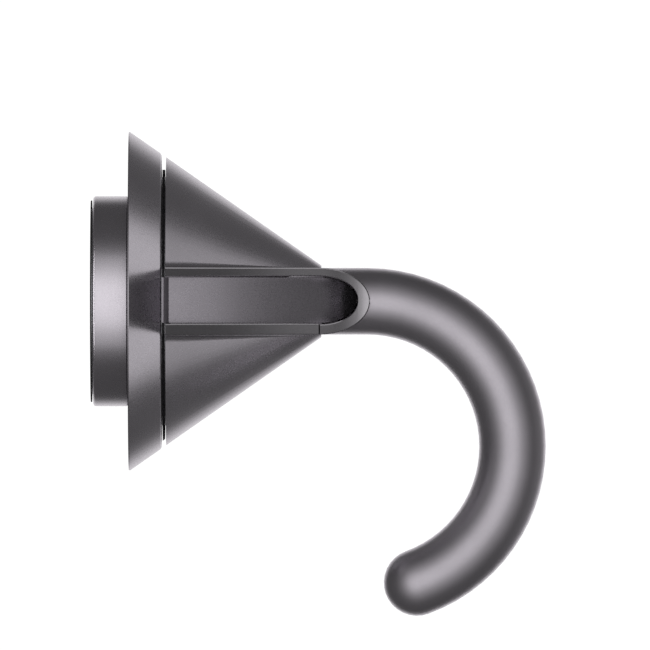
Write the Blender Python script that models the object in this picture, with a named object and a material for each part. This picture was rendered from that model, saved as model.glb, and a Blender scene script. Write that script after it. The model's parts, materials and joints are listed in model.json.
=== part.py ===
"""Hair dryer holder for a salon wall: a round wall base and a swivelling cone with a bent tube hook.

X runs out of the wall, Z is up and the open channel on the cone faces -Y. The origin is the
centre of the wall face. The cone, its channel and the hook turn together about the X axis.
"""

import math

import bmesh
import bpy
from mathutils import Matrix

MM = 0.001
TAU = 2.0 * math.pi

# Clearance left between neighbouring pieces
GAP = 0.3 * MM

# Small edge break on the turned pieces
EDGE = 0.3 * MM

# Wall plate and gasket
PLATE_RADIUS = 22.3 * MM
PLATE_THICKNESS = 2.5 * MM
PLATE_RIM_FRONT = 4.4 * MM
PLATE_RIM_INNER = 19.5 * MM
PLATE_PIT_FLOOR = 1.0 * MM
PLATE_PIT_RADIUS = 8.0 * MM
WALL_HOLE_OFFSET = 14.0 * MM
WALL_HOLE_RADIUS = 2.3 * MM
WALL_HOLE_LAND = 0.4 * MM
WALL_HOLE_SINK_RADIUS = 4.8 * MM
GASKET_THICKNESS = 0.32 * MM
GASKET_INNER = 22.65 * MM
GASKET_OUTER = 24.2 * MM
GASKET_EDGE = 0.1 * MM

# Cup that slips over the plate
CUP_RADIUS = 25.2 * MM
CUP_INNER_RADIUS = 22.7 * MM
CUP_BACK = 0.6 * MM
CUP_WEB_BACK = 6.6 * MM
CUP_FRONT = 8.85 * MM
CUP_FRONT_EDGE = 0.2 * MM
CUP_EDGE_RADIUS = 0.7 * MM
BUSH_HOLE_RADIUS = 6.5 * MM

# Conical flange ring
RING_BACK = 9.1 * MM
RING_WEB_FRONT = 12.0 * MM
RING_FRONT = 17.0 * MM
RING_CAVITY_RADIUS = 30.2 * MM

# Screws that join the cup and the ring
FLANGE_SCREW_CIRCLE = 15.0 * MM
FLANGE_SCREW_ANGLES = (90.0, 210.0, 330.0)
FLANGE_SCREW_HEAD = 4.5 * MM
FLANGE_SCREW_HEAD_RADIUS = 2.6 * MM
FLANGE_SCREW_SEAT = 6.3 * MM
FLANGE_SCREW_RADIUS = 1.4 * MM
FLANGE_SCREW_END = 11.2 * MM
FLANGE_SCREW_KEY = 2.5 * MM
FLANGE_SCREW_KEY_DEPTH = 1.0 * MM

# Set screws that hold the cup on the plate
SET_SCREW_X = 3.0 * MM
SET_SCREW_ANGLES = (50.0, -50.0)
SET_SCREW_INNER = 21.0 * MM
SET_SCREW_OUTER = 24.7 * MM
SET_SCREW_RADIUS = 1.3 * MM
SET_SCREW_POINT_RADIUS = 0.6 * MM
SET_SCREW_KEY = 1.3 * MM
SET_SCREW_KEY_DEPTH = 1.0 * MM
SET_SCREW_SEAT_INNER = 20.6 * MM
SET_SCREW_SEAT_RADIUS = 1.7 * MM

# Bushes and washers on the pivot bolt
BUSH_BORE = 5.3 * MM
BUSH_RADIUS = 6.2 * MM
BUSH_COLLAR_RADIUS = 9.0 * MM
REAR_BUSH_BACK = 5.55 * MM
REAR_BUSH_FRONT = 8.8 * MM
FRONT_BUSH_BACK = 9.15 * MM
FRONT_BUSH_COLLAR = 12.3 * MM
FRONT_BUSH_FRONT = 12.7 * MM
THRUST_WASHER_BACK = 4.8 * MM
THRUST_WASHER_FRONT = 5.25 * MM
THRUST_WASHER_RADIUS = 8.8 * MM
WAVE_WASHER_X = 4.2 * MM
WAVE_WASHER_WAVE = 0.18 * MM
WAVE_WASHER_HALF = 0.14 * MM
WAVE_WASHER_INNER = 5.4 * MM
WAVE_WASHER_OUTER = 8.5 * MM

# Swivel: pivot bolt, hub, detents and end stop
SWIVEL_X = 17.5 * MM
PIVOT_RADIUS = 5.0 * MM
PIVOT_THREAD_RADIUS = 4.0 * MM
PIVOT_HEAD_BACK = 1.3 * MM
PIVOT_HEAD_FRONT = 3.6 * MM
PIVOT_HEAD_RADIUS = 6.5 * MM
PIVOT_SHOULDER = 12.7 * MM
PIVOT_END = 20.5 * MM
PIVOT_EDGE = 0.4 * MM
PIVOT_KEY = 5.0 * MM
PIVOT_KEY_DEPTH = 1.6 * MM
HUB_BACK = 13.0 * MM
HUB_FRONT = 21.2 * MM
HUB_RADIUS = 29.8 * MM
HUB_POCKET_FLOOR = 16.5 * MM
HUB_POCKET_RADIUS = 22.3 * MM
HUB_BOSS_RADIUS = 10.0 * MM
DETENT_CIRCLE = 20.5 * MM
DETENT_BALL_RADIUS = 1.5 * MM
DETENT_BALL_X = 12.25 * MM
DETENT_ANGLES = (0.0, 180.0)
DETENT_WELL_RADIUS = 1.8 * MM
DETENT_WELL_BACK = 7.1 * MM
DETENT_SPRING_BACK = 7.45 * MM
DETENT_SPRING_FRONT = 10.4 * MM
DETENT_SPRING_RADIUS = 1.25 * MM
DETENT_WIRE_RADIUS = 0.22 * MM
DETENT_SPRING_TURNS = 4
DETENT_PIT_ANGLES = (0.0, 90.0, 180.0, 270.0)
DETENT_PIT_MOUTH = 1.15 * MM
DETENT_PIT_BOTTOM = 0.5 * MM
DETENT_PIT_BACK = 13.2 * MM
DETENT_PIT_FRONT = 14.7 * MM
STOP_CIRCLE = 11.5 * MM
STOP_PIN_RADIUS = 1.4 * MM
STOP_PIN_BACK = 10.0 * MM
STOP_PIN_FRONT = 14.5 * MM
STOP_SLOT_FRONT = 14.9 * MM
STOP_REACH = 98.5
CONE_SCREW_CIRCLE = 25.8 * MM
CONE_SCREW_ANGLES = (0.0, 120.0, 240.0)
CONE_SCREW_HEAD = 13.35 * MM
CONE_SCREW_HEAD_RADIUS = 2.7 * MM
CONE_SCREW_SEAT = 15.0 * MM
CONE_SCREW_RADIUS = 1.75 * MM
CONE_SCREW_END = 24.0 * MM
CONE_SCREW_KEY = 2.5 * MM
CONE_SCREW_KEY_DEPTH = 0.95 * MM

# Cone: the ring and the shell share one generator line
CONE_BASE_X = 9.0 * MM
CONE_BASE_RADIUS = 40.9 * MM
CONE_SLOPE = 0.697
SHELL_BACK = 18.1 * MM
SHELL_NOSE = 55.34 * MM
SHELL_NOSE_EDGE = 0.05 * MM
SHELL_WEB_BACK = 21.5 * MM
SHELL_WEB_FRONT = 24.8 * MM
SHELL_WEB_HOLE = 7.0 * MM
SHELL_CAVITY_FRONT = 42.0 * MM
SHELL_WALL = 4.0 * MM
SOCKET_BACK = 44.7 * MM
GLIDE_BACK = 17.27 * MM
GLIDE_FRONT = 17.83 * MM
GLIDE_OUTER_RADIUS = 33.3 * MM
GLIDE_TAPER = 0.2 * MM
GLIDE_FLAT_HEIGHT = 31.5 * MM
GLIDE_FRONT_FLAT = 32.4 * MM
GLIDE_FRONT_FLAT_HALF = 20.0 * MM

# Channel that stands in front of the cone and runs down into the tube
CHANNEL_HALF_WIDTH = 8.0 * MM
CHANNEL_BEND_X = 55.0 * MM
CHANNEL_END_LENGTH = 12.0 * MM
CHANNEL_END_ANGLE = 87.0
CHANNEL_INNER_HALF = 5.8 * MM
CHANNEL_INNER_MIDDLE = 0.2 * MM
CHANNEL_INNER_END_LENGTH = 9.2 * MM
RIM_TIP_HEIGHT = 8.9 * MM
RIM_SLOPE = 0.869
RIM_EASE = 7.8 * MM
RIM_CHAMFER = 0.25 * MM
STRIP_INNER = 5.45 * MM
STRIP_OUTER = 8.1 * MM
STRIP_END = 54.7 * MM
STRIP_POCKET_INNER = 5.0 * MM
STRIP_POCKET_OUTER = 8.3 * MM
STRIP_POCKET_END = 55.0 * MM
POCKET_CHAMFER = 0.0001 * MM
FILLET_RADIUS = 2.7 * MM
FILLET_LEAST = 0.4 * MM
FILLET_FULL_SHARE = 0.87
FILLET_BITE = 0.04 * MM

# Liner that forms the channel floor and scoops up to close its wall end
FLOOR_DROP = 0.9 * MM
LINER_BACK = 17.25 * MM
LINER_DEPTH = 0.95 * MM
LINER_HALF_WIDTH = 5.45 * MM
LINER_MIDDLE = 0.25 * MM
LIP_FRONT = 17.75 * MM
LIP_DROP = 0.3 * MM
SCOOP_FRONT = 18.95 * MM

# Hook tube and the plug that fixes it
TUBE_RADIUS = 8.0 * MM
TUBE_BORE_RADIUS = 5.9 * MM
TUBE_ROOT = 45.0 * MM
BEND_START = 66.4 * MM
BEND_RADIUS = 34.8 * MM
BEND_SWEEP = 160.0
INSERT_FRONT = 52.0 * MM
INSERT_RADIUS = 5.6 * MM
INSERT_BORE_FRONT = 51.0 * MM
HOOK_BOLT_HOLE_RADIUS = 2.3 * MM
HOOK_BOLT_HEAD = 38.2 * MM
HOOK_BOLT_HEAD_RADIUS = 3.6 * MM
HOOK_BOLT_SEAT = 41.7 * MM
HOOK_BOLT_RADIUS = 2.0 * MM
HOOK_BOLT_END = 50.5 * MM
HOOK_BOLT_KEY = 3.0 * MM
HOOK_BOLT_KEY_DEPTH = 2.0 * MM

# How far a cutter reaches past the material it cuts
REACH = 1.0 * MM
FAR = 60.0 * MM


# ---------------------------------------------------------------- scene and materials

def clear_scene():
    for item in list(bpy.data.objects):
        bpy.data.objects.remove(item, do_unlink=True)


def make_material(name, colour, metallic, roughness):
    material = bpy.data.materials.new(name)
    material.use_nodes = True
    shader = material.node_tree.nodes["Principled BSDF"]
    shader.inputs["Base Color"].default_value = (*colour, 1.0)
    shader.inputs["Metallic"].default_value = metallic
    shader.inputs["Roughness"].default_value = roughness
    material.diffuse_color = (*colour, 1.0)
    return material


# ---------------------------------------------------------------- shapes: (vertices, faces)

def spin(profile, segments):
    """Body of revolution about X from a closed outline of (x, radius) points."""
    verts = []
    rows = []
    for x, radius in profile:
        if radius == 0.0:
            rows.append([len(verts)] * segments)
            verts.append((x, 0.0, 0.0))
            continue
        first = len(verts)
        rows.append(list(range(first, first + segments)))
        for i in range(segments):
            angle = TAU * i / segments
            verts.append((x, radius * math.cos(angle), radius * math.sin(angle)))
    faces = []
    for k, row in enumerate(rows):
        following = rows[(k + 1) % len(rows)]
        for i in range(segments):
            j = (i + 1) % segments
            corners = dict.fromkeys((row[i], row[j], following[j], following[i]))
            if len(corners) > 2:
                faces.append(tuple(corners))
    return verts, faces


def loft(sections):
    """Body through sections that each hold the same number of points, with flat ends."""
    count = len(sections[0])
    verts = [point for section in sections for point in section]
    faces = [tuple(range(count))]
    for k in range(len(sections) - 1):
        base = k * count
        for i in range(count):
            j = (i + 1) % count
            faces.append((base + i, base + j, base + count + j, base + count + i))
    last = (len(sections) - 1) * count
    faces.append(tuple(range(last, last + count)))
    return verts, faces


def block(x0, x1, y0, y1, z0, z1):
    sections = []
    for x in (x0, x1):
        sections.append([(x, y0, z0), (x, y1, z0), (x, y1, z1), (x, y0, z1)])
    return loft(sections)


def rod(x0, x1, radius, segments=20):
    return spin([(x0, 0.0), (x0, radius), (x1, radius), (x1, 0.0)], segments)


def place(shape, matrix):
    verts, faces = shape
    return [tuple(matrix @ Matrix.Translation(v).to_translation()) for v in verts], faces


def at_circle(shape, radius, degrees):
    """Moves a body from the axis to a point on a circle round the axis."""
    angle = math.radians(degrees)
    offset = (0.0, radius * math.cos(angle), radius * math.sin(angle))
    return place(shape, Matrix.Translation(offset))


def radially(shape, x, degrees):
    """Turns a body that lies along X so that it points away from the axis at x."""
    turn = Matrix.Rotation(math.radians(degrees), 4, "X") @ Matrix.Rotation(math.radians(90.0), 4, "Z")
    return place(shape, Matrix.Translation((x, 0.0, 0.0)) @ turn)


def merge(shapes):
    verts = []
    faces = []
    for part_verts, part_faces in shapes:
        base = len(verts)
        verts += part_verts
        faces += [tuple(base + i for i in face) for face in part_faces]
    return verts, faces


# ---------------------------------------------------------------- objects

def make_object(name, shape, material=None):
    mesh = bpy.data.meshes.new(name)
    mesh.from_pydata(shape[0], [], shape[1])
    work = bmesh.new()
    work.from_mesh(mesh)
    bmesh.ops.recalc_face_normals(work, faces=work.faces)
    work.to_mesh(mesh)
    work.free()
    if material is not None:
        mesh.materials.append(material)
    item = bpy.data.objects.new(name, mesh)
    bpy.context.scene.collection.objects.link(item)
    return item


def make_helper(name, shape):
    helper = make_object(name, shape)
    helper.hide_render = True
    helper.display_type = "WIRE"
    return helper


def combine(item, helper, operation, solver="EXACT"):
    modifier = item.modifiers.new(helper.name, "BOOLEAN")
    modifier.operation = operation
    modifier.solver = solver
    modifier.object = helper


def cut(item, name, shape, solver="EXACT"):
    helper = make_helper(name, shape)
    combine(item, helper, "DIFFERENCE", solver)
    return helper


def smooth(item, degrees=35.0):
    for face in item.data.polygons:
        face.use_smooth = True
    item.data.set_sharp_from_angle(angle=math.radians(degrees))


def screw_shape(head_x, head_radius, seat_x, shank_radius, end_x):
    """Cylinder-head screw lying along X, with its head toward the wall."""
    edge = 0.1 * head_radius
    outline = [
        (head_x, 0.0),
        (head_x, head_radius - edge),
        (head_x + edge, head_radius),
        (seat_x, head_radius),
        (seat_x, shank_radius),
        (end_x - edge, shank_radius),
        (end_x, shank_radius - edge),
        (end_x, 0.0),
    ]
    return spin(outline, 18)


def hex_socket(x0, x1, width):
    corner = width / math.sqrt(3.0)
    return spin([(x0, 0.0), (x0, corner), (x1, corner), (x1, 0.0)], 6)


# ---------------------------------------------------------------- shared curves

def cone_radius(x):
    return CONE_BASE_RADIUS - CONE_SLOPE * (x - CONE_BASE_X)


def rim_height(x):
    """Distance of the channel rim in front of the swivel axis."""
    back = CHANNEL_BEND_X + CHANNEL_END_LENGTH - x
    return RIM_TIP_HEIGHT + RIM_SLOPE * (math.hypot(back, RIM_EASE) - RIM_EASE)


def floor_height(x):
    """Distance of the channel floor in front of the swivel axis."""
    return cone_radius(x) - FLOOR_DROP


def bed_height(x):
    """Distance of the liner's bed; the liner lies on it with a gap."""
    return floor_height(x) - LINER_DEPTH - GAP


def channel_stations(start, half, end_length, steps):
    """(x, half width) pairs down a straight slot that finishes in half an ellipse."""
    stations = []
    for i in range(steps):
        stations.append((start + (CHANNEL_BEND_X - start) * i / steps, half))
    turns = 12
    for i in range(turns + 1):
        angle = math.radians(CHANNEL_END_ANGLE) * i / turns
        x = CHANNEL_BEND_X + end_length * math.sin(angle)
        stations.append((x, half * math.cos(angle)))
    return stations


# ---------------------------------------------------------------- wall base

def build_wall_plate(steel):
    outline = [
        (0.0, 0.0),
        (0.0, PLATE_RADIUS - EDGE),
        (EDGE, PLATE_RADIUS),
        (PLATE_RIM_FRONT, PLATE_RADIUS),
        (PLATE_RIM_FRONT, PLATE_RIM_INNER),
        (PLATE_THICKNESS, PLATE_RIM_INNER),
        (PLATE_THICKNESS, PLATE_PIT_RADIUS),
        (PLATE_PIT_FLOOR, PLATE_PIT_RADIUS),
        (PLATE_PIT_FLOOR, 0.0),
    ]
    plate = make_object("wall_plate", spin(outline, 48), steel)
    sink_front = WALL_HOLE_LAND + WALL_HOLE_SINK_RADIUS - WALL_HOLE_RADIUS
    hole = spin(
        [
            (-REACH, 0.0),
            (-REACH, WALL_HOLE_RADIUS),
            (WALL_HOLE_LAND, WALL_HOLE_RADIUS),
            (sink_front, WALL_HOLE_SINK_RADIUS),
            (sink_front, 0.0),
        ],
        24,
    )
    holes = merge([at_circle(hole, WALL_HOLE_OFFSET, 90.0), at_circle(hole, WALL_HOLE_OFFSET, -90.0)])
    cut(plate, "cut_wall_holes", holes)
    seats = []
    for degrees in SET_SCREW_ANGLES:
        seat = rod(SET_SCREW_SEAT_INNER, PLATE_RADIUS + REACH, SET_SCREW_SEAT_RADIUS)
        seats.append(radially(seat, SET_SCREW_X, degrees))
    cut(plate, "cut_set_screw_seats", merge(seats), "MANIFOLD")
    return plate


def build_wall_gasket(rubber):
    outline = [
        (0.0, GASKET_INNER),
        (0.0, GASKET_OUTER - GASKET_EDGE),
        (GASKET_EDGE, GASKET_OUTER),
        (GASKET_THICKNESS, GASKET_OUTER),
        (GASKET_THICKNESS, GASKET_INNER),
    ]
    return make_object("wall_gasket", spin(outline, 48), rubber)


def build_base_cup(satin):
    outline = [(CUP_BACK, CUP_INNER_RADIUS)]
    steps = 6
    for i in range(steps + 1):
        angle = math.radians(90.0 * i / steps)
        x = CUP_BACK + CUP_EDGE_RADIUS * (1.0 - math.cos(angle))
        radius = CUP_RADIUS - CUP_EDGE_RADIUS * (1.0 - math.sin(angle))
        outline.append((x, radius))
    outline += [
        (CUP_FRONT - CUP_FRONT_EDGE, CUP_RADIUS),
        (CUP_FRONT, CUP_RADIUS - CUP_FRONT_EDGE),
        (CUP_FRONT, BUSH_HOLE_RADIUS),
        (CUP_WEB_BACK, BUSH_HOLE_RADIUS),
        (CUP_WEB_BACK, CUP_INNER_RADIUS),
    ]
    cup = make_object("base_cup", spin(outline, 72), satin)
    screw_hole = rod(CUP_WEB_BACK - REACH, CUP_FRONT + REACH, FLANGE_SCREW_RADIUS + GAP)
    detent_well = rod(DETENT_WELL_BACK, CUP_FRONT + REACH, DETENT_WELL_RADIUS)
    set_screw_hole = rod(SET_SCREW_INNER, CUP_RADIUS + REACH, SET_SCREW_RADIUS + GAP)
    holes = [at_circle(screw_hole, FLANGE_SCREW_CIRCLE, degrees) for degrees in FLANGE_SCREW_ANGLES]
    holes += [at_circle(detent_well, DETENT_CIRCLE, degrees) for degrees in DETENT_ANGLES]
    holes += [radially(set_screw_hole, SET_SCREW_X, degrees) for degrees in SET_SCREW_ANGLES]
    cut(cup, "cut_cup_holes", merge(holes))
    return cup


def build_flange_ring(satin):
    outline = [
        (RING_BACK, BUSH_HOLE_RADIUS),
        (RING_BACK, cone_radius(RING_BACK) - EDGE),
        (RING_BACK + EDGE, cone_radius(RING_BACK + EDGE)),
        (RING_FRONT - EDGE, cone_radius(RING_FRONT - EDGE)),
        (RING_FRONT, cone_radius(RING_FRONT) - EDGE),
        (RING_FRONT, RING_CAVITY_RADIUS),
        (RING_WEB_FRONT, RING_CAVITY_RADIUS),
        (RING_WEB_FRONT, BUSH_HOLE_RADIUS),
    ]
    ring = make_object("flange_ring", spin(outline, 96), satin)
    screw_hole = rod(RING_BACK - REACH, FLANGE_SCREW_END + GAP, FLANGE_SCREW_RADIUS + GAP)
    detent_well = rod(RING_BACK - REACH, RING_WEB_FRONT + REACH, DETENT_WELL_RADIUS)
    pin_hole = rod(STOP_PIN_BACK - GAP, RING_WEB_FRONT + REACH, STOP_PIN_RADIUS + GAP)
    holes = [at_circle(screw_hole, FLANGE_SCREW_CIRCLE, degrees) for degrees in FLANGE_SCREW_ANGLES]
    holes += [at_circle(detent_well, DETENT_CIRCLE, degrees) for degrees in DETENT_ANGLES]
    holes.append(at_circle(pin_hole, STOP_CIRCLE, 0.0))
    cut(ring, "cut_ring_holes", merge(holes))
    return ring


def build_base_screws(steel):
    items = []
    for i, degrees in enumerate(FLANGE_SCREW_ANGLES):
        shape = screw_shape(
            FLANGE_SCREW_HEAD,
            FLANGE_SCREW_HEAD_RADIUS,
            FLANGE_SCREW_SEAT,
            FLANGE_SCREW_RADIUS,
            FLANGE_SCREW_END,
        )
        screw = make_object(f"flange_screw_{i + 1}", at_circle(shape, FLANGE_SCREW_CIRCLE, degrees), steel)
        key_end = FLANGE_SCREW_HEAD + FLANGE_SCREW_KEY_DEPTH
        socket = hex_socket(FLANGE_SCREW_HEAD - REACH, key_end, FLANGE_SCREW_KEY)
        cut(screw, f"cut_flange_socket_{i + 1}", at_circle(socket, FLANGE_SCREW_CIRCLE, degrees))
        items.append(screw)
    for i, degrees in enumerate(SET_SCREW_ANGLES):
        point = SET_SCREW_RADIUS - SET_SCREW_POINT_RADIUS
        outline = [
            (SET_SCREW_INNER, 0.0),
            (SET_SCREW_INNER, SET_SCREW_POINT_RADIUS),
            (SET_SCREW_INNER + point, SET_SCREW_RADIUS),
            (SET_SCREW_OUTER, SET_SCREW_RADIUS),
            (SET_SCREW_OUTER, 0.0),
        ]
        screw = make_object(f"set_screw_{i + 1}", radially(spin(outline, 20), SET_SCREW_X, degrees), steel)
        key_end = SET_SCREW_OUTER - SET_SCREW_KEY_DEPTH
        socket = hex_socket(key_end, SET_SCREW_OUTER + REACH, SET_SCREW_KEY)
        cut(screw, f"cut_set_socket_{i + 1}", radially(socket, SET_SCREW_X, degrees))
        items.append(screw)
    return items


def build_bushes(bronze):
    rear = [
        (REAR_BUSH_BACK, BUSH_BORE),
        (REAR_BUSH_BACK, BUSH_COLLAR_RADIUS),
        (CUP_WEB_BACK - GAP, BUSH_COLLAR_RADIUS),
        (CUP_WEB_BACK - GAP, BUSH_RADIUS),
        (REAR_BUSH_FRONT, BUSH_RADIUS),
        (REAR_BUSH_FRONT, BUSH_BORE),
    ]
    front = [
        (FRONT_BUSH_BACK, BUSH_BORE),
        (FRONT_BUSH_BACK, BUSH_RADIUS),
        (FRONT_BUSH_COLLAR, BUSH_RADIUS),
        (FRONT_BUSH_COLLAR, BUSH_COLLAR_RADIUS),
        (FRONT_BUSH_FRONT, BUSH_COLLAR_RADIUS),
        (FRONT_BUSH_FRONT, BUSH_BORE),
    ]
    washer = [
        (THRUST_WASHER_BACK, BUSH_BORE),
        (THRUST_WASHER_BACK, THRUST_WASHER_RADIUS),
        (THRUST_WASHER_FRONT, THRUST_WASHER_RADIUS),
        (THRUST_WASHER_FRONT, BUSH_BORE),
    ]
    return [
        make_object("rear_bush", spin(rear, 40), bronze),
        make_object("front_bush", spin(front, 40), bronze),
        make_object("thrust_washer", spin(washer, 40), bronze),
    ]


def build_stop_pin(steel):
    outline = [
        (STOP_PIN_BACK, 0.0),
        (STOP_PIN_BACK, STOP_PIN_RADIUS),
        (STOP_PIN_FRONT - EDGE, STOP_PIN_RADIUS),
        (STOP_PIN_FRONT, STOP_PIN_RADIUS - EDGE),
        (STOP_PIN_FRONT, 0.0),
    ]
    return make_object("stop_pin", at_circle(spin(outline, 20), STOP_CIRCLE, 0.0), steel)


def build_detents(steel, spring_steel):
    items = []
    for i, degrees in enumerate(DETENT_ANGLES):
        ball = at_circle(ball_shape(DETENT_BALL_X, DETENT_BALL_RADIUS), DETENT_CIRCLE, degrees)
        items.append(make_object(f"detent_ball_{i + 1}", ball, steel))
        coil = coil_shape(
            DETENT_SPRING_BACK,
            DETENT_SPRING_FRONT,
            DETENT_SPRING_RADIUS,
            DETENT_WIRE_RADIUS,
            DETENT_SPRING_TURNS,
        )
        coil = at_circle(coil, DETENT_CIRCLE, degrees)
        items.append(make_object(f"detent_spring_{i + 1}", coil, spring_steel))
    return items


def build_wave_washer(spring_steel):
    steps = 60
    sections = []
    corners = (
        (-WAVE_WASHER_HALF, WAVE_WASHER_INNER),
        (-WAVE_WASHER_HALF, WAVE_WASHER_OUTER),
        (WAVE_WASHER_HALF, WAVE_WASHER_OUTER),
        (WAVE_WASHER_HALF, WAVE_WASHER_INNER),
    )
    for i in range(steps):
        angle = TAU * i / steps
        middle = WAVE_WASHER_X + WAVE_WASHER_WAVE * math.cos(3.0 * angle)
        section = []
        for side, radius in corners:
            section.append((middle + side, radius * math.cos(angle), radius * math.sin(angle)))
        sections.append(section)
    verts = [point for section in sections for point in section]
    faces = []
    for k in range(steps):
        base = 4 * k
        following = 4 * ((k + 1) % steps)
        for i in range(4):
            j = (i + 1) % 4
            faces.append((base + i, base + j, following + j, following + i))
    return make_object("wave_washer", (verts, faces), spring_steel)


def ball_shape(x, radius):
    outline = []
    for i in range(9):
        angle = math.pi * i / 8.0
        outline.append((x - radius * math.cos(angle), radius * math.sin(angle) if 0 < i < 8 else 0.0))
    return spin(outline, 14)


def coil_shape(x0, x1, mean_radius, wire_radius, turns):
    steps = 10 * turns
    sections = []
    for k in range(steps + 1):
        share = k / steps
        angle = TAU * turns * share
        x = x0 + (x1 - x0) * share
        section = []
        for i in range(5):
            round_wire = TAU * i / 5.0
            radius = mean_radius + wire_radius * math.cos(round_wire)
            section.append(
                (
                    x + wire_radius * math.sin(round_wire),
                    radius * math.cos(angle),
                    radius * math.sin(angle),
                )
            )
        sections.append(section)
    return loft(sections)


# ---------------------------------------------------------------- swivel

def build_pivot_bolt(steel):
    outline = [
        (PIVOT_HEAD_BACK, 0.0),
        (PIVOT_HEAD_BACK, PIVOT_HEAD_RADIUS - PIVOT_EDGE),
        (PIVOT_HEAD_BACK + PIVOT_EDGE, PIVOT_HEAD_RADIUS),
        (PIVOT_HEAD_FRONT, PIVOT_HEAD_RADIUS),
        (PIVOT_HEAD_FRONT, PIVOT_RADIUS),
        (PIVOT_SHOULDER, PIVOT_RADIUS),
        (PIVOT_SHOULDER, PIVOT_THREAD_RADIUS),
        (PIVOT_END - PIVOT_EDGE, PIVOT_THREAD_RADIUS),
        (PIVOT_END, PIVOT_THREAD_RADIUS - PIVOT_EDGE),
        (PIVOT_END, 0.0),
    ]
    bolt = make_object("pivot_bolt", spin(outline, 40), steel)
    socket = hex_socket(PIVOT_HEAD_BACK - REACH, PIVOT_HEAD_BACK + PIVOT_KEY_DEPTH, PIVOT_KEY)
    cut(bolt, "cut_pivot_socket", socket)
    return bolt


def build_neck_hub(aluminium):
    outline = [
        (HUB_BACK, PIVOT_THREAD_RADIUS + GAP),
        (HUB_BACK, HUB_RADIUS - EDGE),
        (HUB_BACK + EDGE, HUB_RADIUS),
        (HUB_FRONT, HUB_RADIUS),
        (HUB_FRONT, HUB_POCKET_RADIUS),
        (HUB_POCKET_FLOOR, HUB_POCKET_RADIUS),
        (HUB_POCKET_FLOOR, HUB_BOSS_RADIUS),
        (HUB_FRONT, HUB_BOSS_RADIUS),
        (HUB_FRONT, PIVOT_THREAD_RADIUS + GAP),
    ]
    hub = make_object("neck_hub", spin(outline, 48), aluminium)
    track = []
    track_radius = DETENT_BALL_RADIUS + GAP
    steps = 8
    for i in range(steps + 1):
        angle = math.pi * i / steps
        x = DETENT_BALL_X + track_radius * math.sin(angle)
        track.append((x, DETENT_CIRCLE - track_radius * math.cos(angle)))
    cut(hub, "cut_detent_track", spin(track, 36), "MANIFOLD")
    recess = rod(HUB_BACK - REACH, CONE_SCREW_SEAT + GAP, CONE_SCREW_HEAD_RADIUS + GAP)
    recesses = [at_circle(recess, CONE_SCREW_CIRCLE, degrees) for degrees in CONE_SCREW_ANGLES]
    cut(hub, "cut_hub_recesses", merge(recesses), "MANIFOLD")
    bore = rod(CONE_SCREW_SEAT - REACH, HUB_FRONT + REACH, CONE_SCREW_RADIUS + GAP)
    bores = [at_circle(bore, CONE_SCREW_CIRCLE, degrees) for degrees in CONE_SCREW_ANGLES]
    cut(hub, "cut_hub_bores", merge(bores), "MANIFOLD")
    pit = spin(
        [
            (DETENT_PIT_BACK, 0.0),
            (DETENT_PIT_BACK, DETENT_PIT_MOUTH),
            (DETENT_PIT_FRONT, DETENT_PIT_BOTTOM),
            (DETENT_PIT_FRONT, 0.0),
        ],
        16,
    )
    pits = [at_circle(pit, DETENT_CIRCLE, degrees) for degrees in DETENT_PIT_ANGLES]
    cut(hub, "cut_detent_pits", merge(pits), "MANIFOLD")
    cut(hub, "cut_stop_slot", stop_slot_shape(), "MANIFOLD")
    return hub


def stop_slot_shape():
    """Arc-shaped groove that lets the fixed stop pin pass for half a turn."""
    half = STOP_PIN_RADIUS + GAP
    corners = (
        (HUB_BACK - REACH, STOP_CIRCLE - half),
        (STOP_SLOT_FRONT, STOP_CIRCLE - half),
        (STOP_SLOT_FRONT, STOP_CIRCLE + half),
        (HUB_BACK - REACH, STOP_CIRCLE + half),
    )
    sections = []
    steps = 40
    for k in range(steps + 1):
        angle = math.radians(-STOP_REACH + 2.0 * STOP_REACH * k / steps)
        section = [(x, radius * math.cos(angle), radius * math.sin(angle)) for x, radius in corners]
        sections.append(section)
    return loft(sections)


def build_glide_ring(nylon):
    outline = [
        (GLIDE_BACK, HUB_RADIUS + GAP),
        (GLIDE_BACK, GLIDE_OUTER_RADIUS + GLIDE_TAPER),
        (GLIDE_FRONT, GLIDE_OUTER_RADIUS - GLIDE_TAPER),
        (GLIDE_FRONT, HUB_RADIUS + GAP),
    ]
    ring = make_object("glide_ring", spin(outline, 72), nylon)
    x0 = GLIDE_BACK - REACH
    x1 = GLIDE_FRONT + REACH
    half = GLIDE_FRONT_FLAT_HALF
    upper = block(x0, x1, -half, half, GLIDE_FLAT_HEIGHT, FAR)
    front = block(x0, x1, -FAR, -GLIDE_FRONT_FLAT, -half, half)
    cut(ring, "cut_glide_flats", merge([upper, front]))
    return ring


def build_cone_screws(steel):
    items = []
    for i, degrees in enumerate(CONE_SCREW_ANGLES):
        shape = screw_shape(
            CONE_SCREW_HEAD,
            CONE_SCREW_HEAD_RADIUS,
            CONE_SCREW_SEAT,
            CONE_SCREW_RADIUS,
            CONE_SCREW_END,
        )
        screw = make_object(f"cone_screw_{i + 1}", at_circle(shape, CONE_SCREW_CIRCLE, degrees), steel)
        key_end = CONE_SCREW_HEAD + CONE_SCREW_KEY_DEPTH
        socket = hex_socket(CONE_SCREW_HEAD - REACH, key_end, CONE_SCREW_KEY)
        cut(screw, f"cut_cone_socket_{i + 1}", at_circle(socket, CONE_SCREW_CIRCLE, degrees))
        items.append(screw)
    return items


# ---------------------------------------------------------------- cone and channel

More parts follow.
